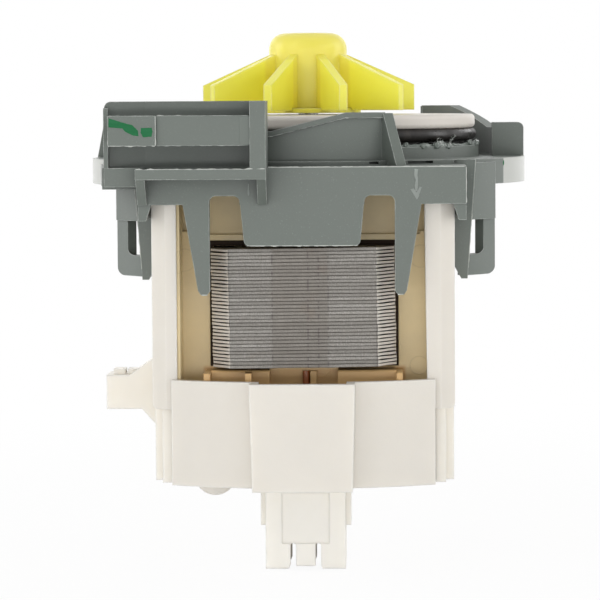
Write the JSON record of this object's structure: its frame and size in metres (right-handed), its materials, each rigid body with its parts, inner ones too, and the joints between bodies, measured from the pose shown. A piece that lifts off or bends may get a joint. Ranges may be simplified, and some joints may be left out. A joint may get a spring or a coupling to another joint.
{
  "type": "washer drain pump",
  "caption": "Washing machine drain pump with a synchronous motor: grey twist-lock plate, yellow open impeller, bare lamination stack and cream casing with a plug socket.",
  "frame": {"origin": "on the shaft axis at the flange's top face", "axes": "+Z along the shaft towards the impeller, -Y towards the open face of the lamination stack, +X to the right when that face is looked at"},
  "size_m": [0.0862, 0.0991, 0.102],
  "materials": {
    "grey_plastic": "matte grey glass-filled moulding, light edges",
    "cream_disc_plastic": "smooth satin cream moulding",
    "seal_rubber": "black moulded rubber with a thin film of grease",
    "sintered_bronze": "sintered bronze, oiled",
    "lamination_steel": "punched electrical sheet edges, dark between sheets",
    "tan_plastic": "tan glass-filled moulding",
    "enamelled_copper": "enamelled copper wire",
    "fuse_sleeve": "brown sleeve",
    "cream_plastic": "smooth cream moulding",
    "terminal_brass": "tinned brass blade",
    "shaft_steel": "ground stainless steel",
    "black_plastic": "black moulding",
    "ferrite": "sintered ferrite, dark grey",
    "yellow_plastic": "satin yellow moulding"
  },
  "bodies": {
    "pump": {"mounting_plate": "grey_plastic", "front_disc": "cream_disc_plastic", "flange_seal": "seal_rubber", "shaft_seal": "seal_rubber", "front_bearing": "sintered_bronze", "front_bearing_mount": "seal_rubber", "rear_bearing": "sintered_bronze", "rear_bearing_mount": "seal_rubber", "stator_core": "lamination_steel", "coil_former": "tan_plastic", "coil_left": "enamelled_copper", "coil_right": "enamelled_copper", "winding_lead_left": "enamelled_copper", "winding_lead_right": "enamelled_copper", "thermal_fuse": "fuse_sleeve", "stator_casing": "cream_plastic", "lower_cover": "cream_plastic", "connector_housing": "cream_plastic", "terminal_left": "terminal_brass", "terminal_right": "terminal_brass"},
    "rotor": {"rotor_shaft": "shaft_steel", "rotor_sleeve": "black_plastic", "rotor_magnet": "ferrite", "front_thrust_washer": "shaft_steel", "rear_thrust_washer": "shaft_steel", "drive_dog": "black_plastic"},
    "impeller": {"impeller": "yellow_plastic", "clutch_cover": "yellow_plastic"},
    "latch": {"latch_bar": "grey_plastic"}
  },
  "joints": [
    {"name": "rotor_spin", "type": "hinge", "parent": "pump", "child": "rotor", "pos_m": [0, 0, 0], "axis": [0, 0, 1], "continuous": true},
    {"name": "impeller_slip", "type": "hinge", "parent": "rotor", "child": "impeller", "pos_m": [0, 0, 0.015], "axis": [0, 0, 1], "range_deg": [-118, 118]},
    {"name": "latch_flex", "type": "hinge", "parent": "pump", "child": "latch", "pos_m": [-0.01, -0.0527, 0.00595], "axis": [0, 0, -1], "range_deg": [0, 7], "stiffness_Nm_per_rad": 0.5}
  ]
}
